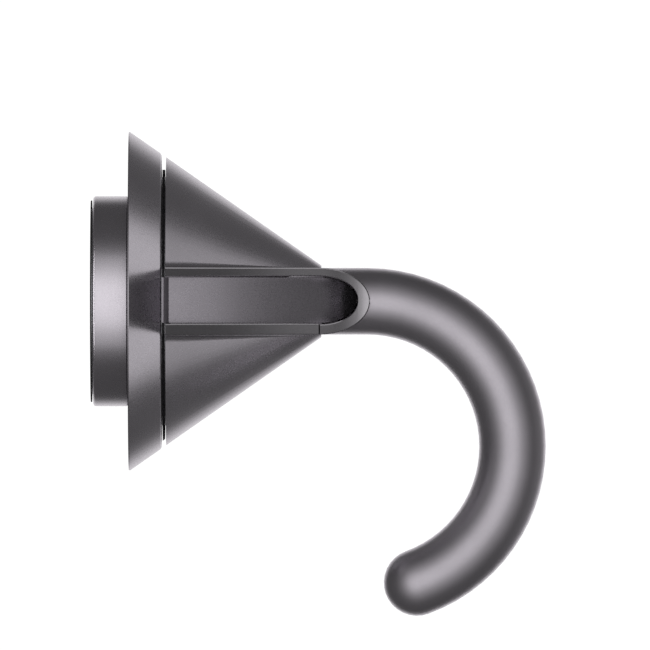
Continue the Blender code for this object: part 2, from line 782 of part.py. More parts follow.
def trough_shape():
    """Tall block behind the channel walls, from inside the cone up to the rim."""
    start = SHELL_BACK - 3.0 * REACH
    outer = channel_stations(start, CHANNEL_HALF_WIDTH, CHANNEL_END_LENGTH, 24)
    inset = channel_stations(
        start,
        CHANNEL_HALF_WIDTH - RIM_CHAMFER,
        CHANNEL_END_LENGTH - RIM_CHAMFER,
        24,
    )
    sections = []
    for (x, half), (x_top, half_top) in zip(outer, inset):
        side = rim_height(x) - RIM_CHAMFER
        top = rim_height(x_top)
        sections.append(
            [
                (x, 0.0, -half),
                (x, -side, -half),
                (x_top, -top, -half_top),
                (x_top, -top, half_top),
                (x, -side, half),
                (x, 0.0, half),
            ]
        )
    return loft(sections)


def channel_cutter():
    start = SHELL_BACK - 4.0 * REACH
    stations = channel_stations(start, CHANNEL_INNER_HALF, CHANNEL_INNER_END_LENGTH, 24)
    flare = 0.5 * REACH
    sections = []
    for x, half in stations:
        middle = CHANNEL_INNER_MIDDLE
        edge = rim_height(x) - RIM_CHAMFER
        top = rim_height(x) + flare
        wide = half + RIM_CHAMFER + flare
        sections.append(
            [
                (x, -bed_height(x), middle - half),
                (x, -edge, middle - half),
                (x, -top, middle - wide),
                (x, -top, middle + wide),
                (x, -edge, middle + half),
                (x, -bed_height(x), middle + half),
            ]
        )
    return loft(sections)


def wall_band(x0, x1, z0, z1, bottom, top, chamfer, steps):
    """Upright band in the channel wall; bottom and top are heights as functions of x."""
    sections = []
    for i in range(steps + 1):
        x = x0 + (x1 - x0) * i / steps
        sections.append(
            [
                (x, -bottom(x), z0),
                (x, -top(x) + chamfer, z0),
                (x, -top(x), z0 + chamfer),
                (x, -top(x), z1 - chamfer),
                (x, -top(x) + chamfer, z1),
                (x, -bottom(x), z1),
            ]
        )
    return loft(sections)


def fillet_shape(side, wall):
    """Hollow fillet between the channel wall and the cone, on the +Z or -Z side."""
    sections = []
    steps = 24
    x0 = SHELL_BACK - 3.0 * REACH
    x1 = SHELL_NOSE - REACH
    nose = cone_radius(SHELL_NOSE)
    back = cone_radius(SHELL_BACK)
    for k in range(steps + 1):
        x = x0 + (x1 - x0) * k / steps
        radius = cone_radius(x)
        share = min(1.0, (radius - nose) / (FILLET_FULL_SHARE * (back - nose)))
        fillet = FILLET_LEAST + (FILLET_RADIUS - FILLET_LEAST) * share
        across = wall + fillet - FILLET_BITE
        height = math.sqrt((radius + fillet - FILLET_BITE) ** 2 - across**2)
        inward = math.atan2(height, across)
        points = [(wall - REACH, height)]
        turns = 8
        for i in range(turns + 1):
            angle = math.pi + inward * i / turns
            points.append((across + fillet * math.cos(angle), height + fillet * math.sin(angle)))
        foot = points[-1]
        points.append((foot[0] * 0.9, foot[1] * 0.9))
        points.append((wall - REACH, foot[1] * 0.9))
        sections.append([(x, -depth, side * z) for z, depth in points])
    return loft(sections)


def shell_inside():
    """Outline of the hollow in the shell: hub seat, web hole, cavity, bolt hole and tube socket."""
    return [
        (SHELL_BACK - 2.0 * REACH, 0.0),
        (SHELL_BACK - 2.0 * REACH, HUB_RADIUS + GAP),
        (SHELL_WEB_BACK, HUB_RADIUS + GAP),
        (SHELL_WEB_BACK, SHELL_WEB_HOLE),
        (SHELL_WEB_FRONT, SHELL_WEB_HOLE),
        (SHELL_WEB_FRONT, cone_radius(SHELL_WEB_FRONT) - SHELL_WALL),
        (SHELL_CAVITY_FRONT, cone_radius(SHELL_CAVITY_FRONT) - SHELL_WALL),
        (SHELL_CAVITY_FRONT, HOOK_BOLT_HOLE_RADIUS),
        (SOCKET_BACK, HOOK_BOLT_HOLE_RADIUS),
        (SOCKET_BACK, TUBE_RADIUS + GAP),
        (FAR + BEND_RADIUS, TUBE_RADIUS + GAP),
        (FAR + BEND_RADIUS, 0.0),
    ]


def build_cone_shell(satin):
    start = SHELL_BACK - 3.0 * REACH
    nose = SHELL_NOSE - SHELL_NOSE_EDGE
    cone = [
        (start, 0.0),
        (start, cone_radius(start)),
        (nose, cone_radius(nose)),
        (SHELL_NOSE, cone_radius(SHELL_NOSE) - SHELL_NOSE_EDGE),
        (SHELL_NOSE, 0.0),
    ]
    shell = make_object("cone_shell", spin(cone, 96), satin)
    combine(shell, make_helper("add_trough", trough_shape()), "UNION")
    combine(shell, make_helper("add_fillet_upper", fillet_shape(1.0, CHANNEL_HALF_WIDTH)), "UNION")
    combine(shell, make_helper("add_fillet_lower", fillet_shape(-1.0, STRIP_POCKET_OUTER)), "UNION")
    cut(shell, "cut_shell_back", block(0.0, SHELL_BACK, -FAR, FAR, -FAR, FAR))
    cut(shell, "cut_shell_inside", spin(shell_inside(), 48))
    channel = cut(shell, "cut_channel", channel_cutter())
    pocket = wall_band(
        SHELL_BACK - 4.0 * REACH,
        STRIP_POCKET_END,
        -STRIP_POCKET_OUTER,
        -STRIP_POCKET_INNER,
        bed_height,
        lambda x: rim_height(x) + REACH,
        POCKET_CHAMFER,
        24,
    )
    cut(shell, "cut_strip_pocket", pocket)
    hole = rod(SHELL_WEB_BACK - REACH, CONE_SCREW_END + GAP, CONE_SCREW_RADIUS + GAP)
    holes = [at_circle(hole, CONE_SCREW_CIRCLE, degrees) for degrees in CONE_SCREW_ANGLES]
    cut(shell, "cut_shell_holes", merge(holes))
    return shell, channel


def liner_profile():
    """(x, height of the floor, half width) down the liner, with the scooped lip at the wall end."""
    lip_back = rim_height(SHELL_BACK) - LIP_DROP
    lip_front = lip_back - RIM_SLOPE * (LIP_FRONT - LINER_BACK)
    rise = lip_front - floor_height(LIP_FRONT)
    profile = [(LINER_BACK, lip_back, LINER_HALF_WIDTH), (LIP_FRONT, lip_front, LINER_HALF_WIDTH)]
    steps = 10
    for i in range(1, steps):
        angle = math.radians(90.0 * (1.0 - i / steps))
        x = SCOOP_FRONT - (SCOOP_FRONT - LIP_FRONT) * math.sin(angle)
        height = floor_height(x) + rise * (1.0 - math.cos(angle))
        profile.append((x, height, LINER_HALF_WIDTH))
    for x, half in channel_stations(SCOOP_FRONT, LINER_HALF_WIDTH, CHANNEL_INNER_END_LENGTH - GAP, 12):
        profile.append((x, floor_height(x), half))
    return profile


def build_channel_liner(satin):
    sections = []
    for x, top, half in liner_profile():
        bottom = floor_height(x) - LINER_DEPTH
        sections.append(
            [
                (x, -bottom, LINER_MIDDLE - half),
                (x, -top, LINER_MIDDLE - half),
                (x, -top, LINER_MIDDLE + half),
                (x, -bottom, LINER_MIDDLE + half),
            ]
        )
    return make_object("channel_liner", loft(sections), satin)


def build_channel_strip(satin):
    shape = wall_band(
        SHELL_BACK,
        STRIP_END,
        -STRIP_OUTER,
        -STRIP_INNER,
        lambda x: bed_height(x) + GAP,
        rim_height,
        RIM_CHAMFER,
        24,
    )
    return make_object("channel_strip", shape, satin)


# ---------------------------------------------------------------- hook

def tube_ring(radius, along, straight_end, segments):
    """Ring of points on the hook tube; along runs in metres before the bend, then in degrees."""
    points = []
    for i in range(segments):
        angle = TAU * i / segments
        out = radius * math.cos(angle)
        y = radius * math.sin(angle)
        if not straight_end:
            points.append((along, y, out))
            continue
        turn = math.radians(along)
        reach = BEND_RADIUS + out
        points.append((BEND_START + reach * math.sin(turn), y, -BEND_RADIUS + reach * math.cos(turn)))
    return points


def end_ring(radius, degrees, segments):
    """Ring on the half ball that closes the tube, degrees up from its equator."""
    turn = math.radians(BEND_SWEEP)
    lift = math.radians(degrees)
    centre = (BEND_START + BEND_RADIUS * math.sin(turn), -BEND_RADIUS + BEND_RADIUS * math.cos(turn))
    ahead = (math.cos(turn), -math.sin(turn))
    outward = (math.sin(turn), math.cos(turn))
    points = []
    for i in range(segments):
        angle = TAU * i / segments
        out = radius * math.cos(lift) * math.cos(angle)
        y = radius * math.cos(lift) * math.sin(angle)
        push = radius * math.sin(lift)
        x = centre[0] + outward[0] * out + ahead[0] * push
        z = centre[1] + outward[1] * out + ahead[1] * push
        points.append((x, y, z))
    return points


def hook_surface(radius, bend_steps, cap_steps, segments):
    rings = []
    straight_steps = 3
    for k in range(straight_steps + 1):
        x = TUBE_ROOT + (BEND_START - TUBE_ROOT) * k / straight_steps
        rings.append(tube_ring(radius, x, False, segments))
    for k in range(1, bend_steps + 1):
        rings.append(tube_ring(radius, BEND_SWEEP * k / bend_steps, True, segments))
    for k in range(1, cap_steps):
        rings.append(end_ring(radius, 90.0 * k / cap_steps, segments))
    pole = end_ring(radius, 90.0, segments)[0]
    return rings, pole


def build_hook_arm(satin, channel):
    segments = 32
    outer, outer_pole = hook_surface(TUBE_RADIUS, 32, 8, segments)
    inner, inner_pole = hook_surface(TUBE_BORE_RADIUS, 16, 3, segments)
    rings = [outer_pole] + outer[::-1] + inner + [inner_pole]
    verts = []
    rows = []
    for ring in rings:
        if isinstance(ring, tuple):
            rows.append([len(verts)] * segments)
            verts.append(ring)
        else:
            rows.append(list(range(len(verts), len(verts) + segments)))
            verts += ring
    faces = []
    for first, second in zip(rows, rows[1:]):
        for i in range(segments):
            j = (i + 1) % segments
            corners = dict.fromkeys((first[i], first[j], second[j], second[i]))
            if len(corners) > 2:
                faces.append(tuple(corners))
    arm = make_object("hook_arm", (verts, faces), satin)
    combine(arm, channel, "DIFFERENCE")
    return arm


def build_hook_fixing(steel, aluminium):
    insert = [
        (TUBE_ROOT, HOOK_BOLT_HOLE_RADIUS),
        (TUBE_ROOT, INSERT_RADIUS - EDGE),
        (TUBE_ROOT + EDGE, INSERT_RADIUS),
        (INSERT_FRONT, INSERT_RADIUS),
        (INSERT_FRONT, 0.0),
        (INSERT_BORE_FRONT, 0.0),
        (INSERT_BORE_FRONT, HOOK_BOLT_HOLE_RADIUS),
    ]
    plug = make_object("hook_insert", spin(insert, 32), aluminium)
    shape = screw_shape(
        HOOK_BOLT_HEAD,
        HOOK_BOLT_HEAD_RADIUS,
        HOOK_BOLT_SEAT,
        HOOK_BOLT_RADIUS,
        HOOK_BOLT_END,
    )
    bolt = make_object("hook_bolt", shape, steel)
    socket = hex_socket(HOOK_BOLT_HEAD - REACH, HOOK_BOLT_HEAD + HOOK_BOLT_KEY_DEPTH, HOOK_BOLT_KEY)
    cut(bolt, "cut_hook_bolt_socket", socket)
    return [plug, bolt]


# ---------------------------------------------------------------- assembly

def hang_on(items, pivot):
    for item in items:
        item.parent = pivot
        item.matrix_parent_inverse = pivot.matrix_world.inverted()


def main():
    clear_scene()
    satin = make_material("satin_nickel", (0.30, 0.29, 0.31), 1.0, 0.33)
    dark_satin = make_material("dark_satin_nickel", (0.17, 0.17, 0.18), 1.0, 0.36)
    steel = make_material("zinc_steel", (0.52, 0.53, 0.55), 1.0, 0.35)
    spring_steel = make_material("spring_steel", (0.33, 0.34, 0.37), 1.0, 0.30)
    aluminium = make_material("aluminium", (0.62, 0.63, 0.65), 1.0, 0.40)
    bronze = make_material("bearing_bronze", (0.50, 0.34, 0.17), 1.0, 0.42)
    rubber = make_material("black_rubber", (0.02, 0.02, 0.02), 0.0, 0.75)
    nylon = make_material("black_nylon", (0.03, 0.03, 0.033), 0.0, 0.50)

    base = [build_wall_plate(steel), build_wall_gasket(rubber)]
    base += [build_base_cup(satin), build_flange_ring(satin)]
    base += build_base_screws(steel)
    base += build_bushes(bronze)
    base += [build_wave_washer(spring_steel), build_stop_pin(steel)]
    base += build_detents(steel, spring_steel)

    pivot = bpy.data.objects.new("hook_swivel", None)
    pivot.location = (SWIVEL_X, 0.0, 0.0)
    bpy.context.scene.collection.objects.link(pivot)
    bpy.context.view_layer.update()

    head = [build_pivot_bolt(steel), build_neck_hub(aluminium), build_glide_ring(nylon)]
    head += build_cone_screws(steel)
    shell, channel = build_cone_shell(satin)
    head += [shell, build_channel_liner(satin), build_channel_strip(dark_satin)]
    head += [build_hook_arm(satin, channel)]
    head += build_hook_fixing(steel, aluminium)
    hang_on(head, pivot)
    for item in base + head:
        smooth(item)


main()
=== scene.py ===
"""Looks of the hair dryer holder: finer visible pieces, satin metal finishes, light and camera."""

import json
import math

import bmesh
import bpy
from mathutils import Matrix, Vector


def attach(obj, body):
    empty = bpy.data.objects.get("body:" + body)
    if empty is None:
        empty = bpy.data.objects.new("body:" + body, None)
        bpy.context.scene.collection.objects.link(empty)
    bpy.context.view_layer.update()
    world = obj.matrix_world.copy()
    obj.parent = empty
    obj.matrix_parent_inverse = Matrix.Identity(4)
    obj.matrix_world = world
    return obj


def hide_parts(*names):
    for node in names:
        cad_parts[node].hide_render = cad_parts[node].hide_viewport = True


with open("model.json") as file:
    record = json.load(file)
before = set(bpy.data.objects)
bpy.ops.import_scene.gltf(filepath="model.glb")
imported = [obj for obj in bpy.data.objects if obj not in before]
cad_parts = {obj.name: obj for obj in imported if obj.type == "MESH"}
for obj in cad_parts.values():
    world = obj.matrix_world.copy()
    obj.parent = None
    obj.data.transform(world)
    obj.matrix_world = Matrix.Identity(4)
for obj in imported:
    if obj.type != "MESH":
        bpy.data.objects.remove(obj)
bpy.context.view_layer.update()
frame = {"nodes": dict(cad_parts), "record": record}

MM = 0.001

# Camera: long lens square to the holder's side, aimed at this X and Z
VIEW_CENTRE = (56.2 * MM, -5.7 * MM)
VIEW_WIDTH = 156.0 * MM
VIEW_DISTANCE = 6000.0 * MM
SENSOR_WIDTH = 36.0
CLIP_NEAR = 0.05
CLIP_FAR = 20.0

# Rounded edges on the machined pieces
EDGE_ROUNDING = 0.16 * MM
PLATE_ROUNDING = 0.1 * MM
CHANNEL_ROUNDING = 0.05 * MM
EDGE_STEPS = 2
SHARP_ANGLE = math.radians(28.0)
FLAT_ANGLE = math.radians(0.05)
WELD_DISTANCE = 0.002 * MM
NORMAL_WEIGHT = 90

# Noise: the middle part of its range that the finishes use
NOISE_LOW = 0.3
NOISE_HIGH = 0.7

# Satin metal: broad clouds in the colour, and a fine grain in the roughness and the relief
CLOUD_SCALE = 60.0
CLOUD_DETAIL = 3.0
CLOUD_DARK = 0.94
CLOUD_LIGHT = 1.05
GRAIN_SCALE = 2600.0
GRAIN_DETAIL = 2.0
GRAIN_SPREAD = 0.03
GRAIN_DEPTH = 0.02 * MM

# Plain finishes: one mottle drives the colour, the roughness and the relief
MOTTLE_DETAIL = 4.0
MOTTLE_ROUGHNESS = 0.6
MOTTLE_SPREAD = 0.06
MOTTLE_BUMP = 0.25
MOTTLE_DEPTH = 0.03 * MM

# Pale floor under the holder
FLOOR_HALF_WIDTH = 3.0
FLOOR_CELLS = 8
FLOOR_HEIGHT = -0.45
FLOOR_CLOUD_SCALE = 2.0
FLOOR_CLOUD_DETAIL = 2.0
FLOOR_DARK_TONE = (0.86, 0.86, 0.86)
FLOOR_LIGHT_TONE = (0.9, 0.9, 0.9)
FLOOR_ROUGHNESS = 0.9
FLOOR_GLOW = 0.62

# White that only the camera sees behind the holder
BACKDROP_STRENGTH = 1.05

# Studio light: each patch is a direction, the half angles it is full and gone at, and its strength
LIGHT_COLOUR = (1.0, 0.97, 1.0)
AMBIENT = 0.10
PATCHES = (
    ((-0.08, -1.0, 0.0), 0.0, 40.0, 0.60),
    ((0.0, -1.0, 0.0), 0.0, 75.0, 0.42),
    ((0.0, 1.0, 0.0), 0.0, 46.0, 1.0),
    ((0.8, 0.6, 0.0), 0.0, 50.0, 0.12),
)
# Front light that falls on the cup only
CUP_LIGHT_PLACE = (0.005, -0.35, 0.0)
CUP_LIGHT_AIM = (0.005, 0.0, 0.0)
CUP_LIGHT_SIZE = (0.16, 0.90)
CUP_LIGHT_POWER = 0.13
# Side lights, one for the flange and a taller, weaker one in the same place for the cone
SIDE_LIGHT_AIM = (0.04, 0.0, 0.0)
SIDE_LIGHT_DIRECTION = (0.95, -0.30, 0.0)
SIDE_LIGHT_DISTANCE = 0.6
SIDE_LIGHT_SIZE = (0.36, 1.4)
SIDE_LIGHT_POWER = 0.95
CONE_LIGHT_SIZE = (0.36, 1.8)
CONE_LIGHT_POWER = 0.72
# Light from behind that falls on the tube only, aimed as the side lights are
TUBE_LIGHT_DIRECTION = (0.1, 1.0, 0.0)
TUBE_LIGHT_DISTANCE = 0.6
TUBE_LIGHT_SIZE = (1.2, 1.2)
TUBE_LIGHT_POWER = 1.4
# Small light that falls on the channel's floor only, and passes the other pieces
TROUGH_LIGHT_PLACE = (0.100, -0.070, 0.0)
TROUGH_LIGHT_AIM = (0.022, -0.030, 0.0)
TROUGH_LIGHT_SIZE = (0.04, 0.05)
TROUGH_LIGHT_POWER = 0.0036
# Light from the wall side that falls on the cup's rounded back edge
EDGE_LIGHT_PLACE = (-0.42, -0.24, 0.0)
EDGE_LIGHT_AIM = (0.0, 0.0, 0.0)
EDGE_LIGHT_SIZE = (0.25, 0.9)
EDGE_LIGHT_POWER = 1.6
# Light from above that catches the upper edges of the channel's rim and rail
TOP_LIGHT_PLACE = (0.245, 0.0, 0.40)
TOP_LIGHT_AIM = (0.045, -0.02, 0.0)
TOP_LIGHT_SIZE = (0.7, 0.3)
TOP_LIGHT_POWER = 0.3
# Small light that brightens the rim and rail toward the tip
RIM_LIGHT_PLACE = (0.125, -0.030, 0.0)
RIM_LIGHT_AIM = (0.055, -0.015, 0.0)
RIM_LIGHT_SIZE = (0.02, 0.04)
RIM_LIGHT_POWER = 0.0005

# Rim of the channel, as in the part: height in front of the swivel axis
RIM_TIP_X = 67.0 * MM
RIM_TIP_HEIGHT = 8.9 * MM
RIM_SLOPE = 0.869
RIM_EASE = 7.8 * MM
RIM_HALF_WIDTH = 8.2 * MM
RIM_START_X = 17.0 * MM
RIM_DEPTH = 0.5 * MM
RIM_STEPS = 48

# Slope of the cone's side, and how far a facet may lie off it
CONE_SLOPE = 0.697
CONE_FACET_ANGLE = math.radians(3.0)


# ---------------------------------------------------------------- node helpers

class Shader:
    """Small wrapper that keeps node code short."""

    def __init__(self, tree):
        self.tree = tree

    def node(self, kind, **settings):
        made = self.tree.nodes.new(kind)
        for name, value in settings.items():
            setattr(made, name, value)
        return made

    def link(self, source, target):
        self.tree.links.new(source, target)

    def noise(self, scale, detail, roughness=0.5):
        place = self.node("ShaderNodeTexCoord")
        texture = self.node("ShaderNodeTexNoise")
        texture.inputs["Scale"].default_value = scale
        texture.inputs["Detail"].default_value = detail
        texture.inputs["Roughness"].default_value = roughness
        self.link(place.outputs["Object"], texture.inputs["Vector"])
        return texture.outputs["Fac"]

    def spread(self, value, low, high):
        ramp = self.node("ShaderNodeMapRange")
        ramp.inputs["From Min"].default_value = NOISE_LOW
        ramp.inputs["From Max"].default_value = NOISE_HIGH
        ramp.inputs["To Min"].default_value = low
        ramp.inputs["To Max"].default_value = high
        self.link(value, ramp.inputs["Value"])
        return ramp.outputs["Result"]

    def colours(self, value, dark, light):
        mix = self.node("ShaderNodeMix", data_type="RGBA")
        mix.inputs["A"].default_value = (*dark, 1.0)
        mix.inputs["B"].default_value = (*light, 1.0)
        self.link(value, mix.inputs["Factor"])
        return mix.outputs["Result"]

    def bump(self, height, strength, distance):
        bump = self.node("ShaderNodeBump")
        bump.inputs["Strength"].default_value = strength
        bump.inputs["Distance"].default_value = distance
        self.link(height, bump.inputs["Height"])
        return bump.outputs["Normal"]


def new_material(name):
    material = bpy.data.materials.new(name)
    material.use_nodes = True
    shader = Shader(material.node_tree)
    return material, shader, material.node_tree.nodes["Principled BSDF"]


def satin_metal(name, colour, roughness, grain=0.12):
    """Fine-blasted plated metal with a faint cloudiness in its colour."""
    material, shader, surface = new_material(name)
    surface.inputs["Metallic"].default_value = 1.0
    cloud = shader.noise(CLOUD_SCALE, CLOUD_DETAIL)
    fine = shader.noise(GRAIN_SCALE, GRAIN_DETAIL)
    dark = tuple(CLOUD_DARK * c for c in colour)
    light = tuple(CLOUD_LIGHT * c for c in colour)
    tint = shader.colours(shader.spread(cloud, 0.0, 1.0), dark, light)
    shader.link(tint, surface.inputs["Base Color"])
    rough = shader.spread(fine, roughness - GRAIN_SPREAD, roughness + GRAIN_SPREAD)
    shader.link(rough, surface.inputs["Roughness"])
    shader.link(shader.bump(fine, grain, GRAIN_DEPTH), surface.inputs["Normal"])
    return material


def plain_finish(name, dark, light, metallic, roughness, scale):
    """Mottled finish for the pieces that are seen little or not at all."""
    material, shader, surface = new_material(name)
    surface.inputs["Metallic"].default_value = metallic
    mottle = shader.noise(scale, MOTTLE_DETAIL, MOTTLE_ROUGHNESS)
    tint = shader.colours(shader.spread(mottle, 0.0, 1.0), dark, light)
    shader.link(tint, surface.inputs["Base Color"])
    rough = shader.spread(mottle, roughness - MOTTLE_SPREAD, roughness + MOTTLE_SPREAD)
    shader.link(rough, surface.inputs["Roughness"])
    shader.link(shader.bump(mottle, MOTTLE_BUMP, MOTTLE_DEPTH), surface.inputs["Normal"])
    return material


# ---------------------------------------------------------------- pieces

def shade_smooth(mesh):
    """Drops any stored normals, then smooths the round faces and keeps the edges sharp."""
    if "custom_normal" in mesh.attributes:
        mesh.attributes.remove(mesh.attributes["custom_normal"])
    for face in mesh.polygons:
        face.use_smooth = True
    mesh.set_sharp_from_angle(angle=SHARP_ANGLE)


def weigh_normals(piece):
    """Lets the large faces decide the shading, so that small rounded edges don't bend them."""
    weigh = piece.modifiers.new("face_weighted_normals", "WEIGHTED_NORMAL")
    weigh.mode = "FACE_AREA"
    weigh.weight = NORMAL_WEIGHT
    weigh.keep_sharp = True


def refined(node, name, material, body, rounding=EDGE_ROUNDING):
    """Finer copy of a CAD node: welded, smooth on its round faces, with small rounded edges."""
    mesh = frame["nodes"][node].data.copy()
    mesh.name = name
    work = bmesh.new()
    work.from_mesh(mesh)
    bmesh.ops.remove_doubles(work, verts=work.verts, dist=WELD_DISTANCE)
    bmesh.ops.dissolve_limit(
        work, angle_limit=FLAT_ANGLE, verts=work.verts, edges=work.edges
    )
    work.to_mesh(mesh)
    work.free()
    mesh.materials.clear()
    mesh.materials.append(material)
    shade_smooth(mesh)
    piece = bpy.data.objects.new(name, mesh)
    bpy.context.scene.collection.objects.link(piece)
    if rounding > 0.0:
        bevel = piece.modifiers.new("rounded_edges", "BEVEL")
        bevel.width = rounding
        bevel.segments = EDGE_STEPS
        bevel.limit_method = "ANGLE"
        bevel.angle_limit = SHARP_ANGLE
    weigh_normals(piece)
    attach(piece, body)
    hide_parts(node)
    return piece


def rim_height(x):
    """Distance of the rim's top in front of the swivel axis, at this distance from the wall."""
    return RIM_TIP_HEIGHT + RIM_SLOPE * (math.hypot(RIM_TIP_X - x, RIM_EASE) - RIM_EASE)


def rim_slab():
    """Band that follows the rim and takes in the last bit of the channel wall."""
    verts = []
    for i in range(RIM_STEPS + 1):
        x = RIM_START_X + (RIM_TIP_X - RIM_START_X) * i / RIM_STEPS
        low = rim_height(x) - RIM_DEPTH
        high = rim_height(x) + RIM_DEPTH
        for height, z in ((low, -1.0), (high, -1.0), (high, 1.0), (low, 1.0)):
            verts.append((x, -height, z * RIM_HALF_WIDTH))
    last = 4 * RIM_STEPS
    faces = [(0, 1, 2, 3), (last + 3, last + 2, last + 1, last)]
    for i in range(RIM_STEPS):
        for k in range(4):
            a = 4 * i + k
            b = 4 * i + (k + 1) % 4
            faces.append((b, a, a + 4, b + 4))
    mesh = bpy.data.meshes.new("rim_slab")
    mesh.from_pydata(verts, [], faces)
    return mesh


def carved(piece, tool, operation):
    """The piece's mesh after a Boolean with the tool."""
    carve = piece.modifiers.new("carve", "BOOLEAN")
    carve.object = tool
    carve.operation = operation
    carve.solver = "EXACT"
    graph = bpy.context.evaluated_depsgraph_get()
    mesh = bpy.data.meshes.new_from_object(piece.evaluated_get(graph))
    piece.modifiers.remove(carve)
    work = bmesh.new()
    work.from_mesh(mesh)
    bmesh.ops.remove_doubles(work, verts=work.verts, dist=WELD_DISTANCE)
    bmesh.ops.dissolve_degenerate(work, edges=work.edges, dist=WELD_DISTANCE)
    work.to_mesh(mesh)
    work.free()
    shade_smooth(mesh)
    return mesh


def split_rim(shell, name, material, body):
    """Moves the top of the channel wall out of the shell into a piece with its own finish.

    The shell has no modifier left afterwards, since the cone's own normals go on its mesh.
    """
    tool = bpy.data.objects.new("rim_slab", rim_slab())
    bpy.context.scene.collection.objects.link(tool)
    shell.modifiers.clear()
    rim = carved(shell, tool, "INTERSECT")
    shell.data = carved(shell, tool, "DIFFERENCE")
    true_cone_normals(shell.data)
    bpy.data.objects.remove(tool, do_unlink=True)
    rim.materials.clear()
    rim.materials.append(material)
    piece = bpy.data.objects.new(name, rim)
    bpy.context.scene.collection.objects.link(piece)
    weigh_normals(piece)
    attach(piece, body)
    return piece


def true_cone_normals(mesh):
    """Shades the faceted cone as a true cone, and leaves every other face as it is."""
    lean = math.atan(CONE_SLOPE)
    close = math.cos(CONE_FACET_ANGLE)
    normals = [corner.vector.copy() for corner in mesh.corner_normals]
    for face in mesh.polygons:
        if face.normal.dot(cone_normal(face.center, lean)) < close:
            continue
        for loop in face.loop_indices:
            place = mesh.vertices[mesh.loops[loop].vertex_index].co
            normals[loop] = cone_normal(place, lean)
    mesh.normals_split_custom_set(normals)


def cone_normal(place, lean):
    """Outward direction of the cone's side at this place."""
    radius = math.hypot(place.y, place.z)
    across = math.cos(lean) / radius
    return Vector((math.sin(lean), place.y * across, place.z * across))


def refinish(node, material):
    """Gives a CAD node that stays as it is a finished material."""
    item = frame["nodes"][node]
    for index in range(len(item.material_slots)):
        item.material_slots[index].material = material


# ---------------------------------------------------------------- stage

def build_floor():
    """Pale floor that stays pale in every view and doesn't light the holder."""
    work = bmesh.new()
    bmesh.ops.create_grid(
        work, x_segments=FLOOR_CELLS, y_segments=FLOOR_CELLS, size=FLOOR_HALF_WIDTH
    )
    mesh = bpy.data.meshes.new("floor")
    work.to_mesh(mesh)
    work.free()
    floor = bpy.data.objects.new("floor", mesh)
    floor.location = (0.0, 0.0, FLOOR_HEIGHT)
    bpy.context.scene.collection.objects.link(floor)
    material, shader, surface = new_material("pale_floor")
    tone = shader.noise(FLOOR_CLOUD_SCALE, FLOOR_CLOUD_DETAIL)
    tint = shader.colours(tone, FLOOR_DARK_TONE, FLOOR_LIGHT_TONE)
    shader.link(tint, surface.inputs["Base Color"])
    surface.inputs["Roughness"].default_value = FLOOR_ROUGHNESS
    surface.inputs["Emission Color"].default_value = (1.0, 1.0, 1.0, 1.0)
    surface.inputs["Emission Strength"].default_value = FLOOR_GLOW
    mesh.materials.append(material)
    floor.visible_glossy = False
    floor.visible_diffuse = False
    floor.visible_shadow = False


def soft_patch(shader, direction, toward, near, far, strength):
    """Light from one direction in the sky: full inside near degrees, none beyond far degrees."""
    aim = shader.node("ShaderNodeVectorMath", operation="DOT_PRODUCT")
    aim.inputs[1].default_value = toward
    shader.link(direction, aim.inputs[0])
    fade = shader.node("ShaderNodeMapRange", interpolation_type="SMOOTHSTEP")
    fade.inputs["From Min"].default_value = math.cos(math.radians(far))
    fade.inputs["From Max"].default_value = math.cos(math.radians(near))
    fade.inputs["To Min"].default_value = 0.0
    fade.inputs["To Max"].default_value = strength
    shader.link(aim.outputs["Value"], fade.inputs["Value"])
    return fade.outputs["Result"]


def build_world():
    """Soft patches of light all round, and a plain white that only the camera sees."""
    world = bpy.data.worlds.new("studio")
    bpy.context.scene.world = world
    world.use_nodes = True
    shader = Shader(world.node_tree)
    nodes = world.node_tree.nodes
    place = shader.node("ShaderNodeTexCoord")
    direction = place.outputs["Generated"]
    total = None
    for toward, near, far, strength in PATCHES:
        patch = soft_patch(shader, direction, toward, near, far, strength)
        if total is None:
            total = patch
            continue
        add = shader.node("ShaderNodeMath", operation="ADD")
        shader.link(total, add.inputs[0])
        shader.link(patch, add.inputs[1])
        total = add.outputs["Value"]
    dim = shader.node("ShaderNodeMath", operation="ADD")
    dim.inputs[1].default_value = AMBIENT
    shader.link(total, dim.inputs[0])
    surroundings = nodes["Background"]
    shader.link(dim.outputs["Value"], surroundings.inputs["Strength"])
    surroundings.inputs["Color"].default_value = (*LIGHT_COLOUR, 1.0)
    white = shader.node("ShaderNodeBackground")
    white.inputs["Color"].default_value = (1.0, 1.0, 1.0, 1.0)
    white.inputs["Strength"].default_value = BACKDROP_STRENGTH
    path = shader.node("ShaderNodeLightPath")
    mix = shader.node("ShaderNodeMixShader")
    shader.link(path.outputs["Is Camera Ray"], mix.inputs["Fac"])
    shader.link(surroundings.outputs["Background"], mix.inputs[1])
    shader.link(white.outputs["Background"], mix.inputs[2])
    shader.link(mix.outputs["Shader"], nodes["World Output"].inputs["Surface"])


def add_softbox(name, place, aim, size, power, receivers, through=False):
    """Soft light that falls on the listed pieces only; through lets it pass the others."""
    light = bpy.data.lights.new(name, "AREA")
    light.shape = "ELLIPSE"
    light.size, light.size_y = size
    light.energy = power
    light.color = LIGHT_COLOUR
    item = bpy.data.objects.new(name, light)
    item.location = place
    item.rotation_euler = (Vector(aim) - Vector(place)).to_track_quat("-Z", "Y").to_euler()
    item.visible_camera = False
    bpy.context.scene.collection.objects.link(item)
    lit = bpy.data.collections.new(name + "_receivers")
    for piece in receivers:
        lit.objects.link(piece)
    item.light_linking.receiver_collection = lit
    if through:
        item.light_linking.blocker_collection = lit


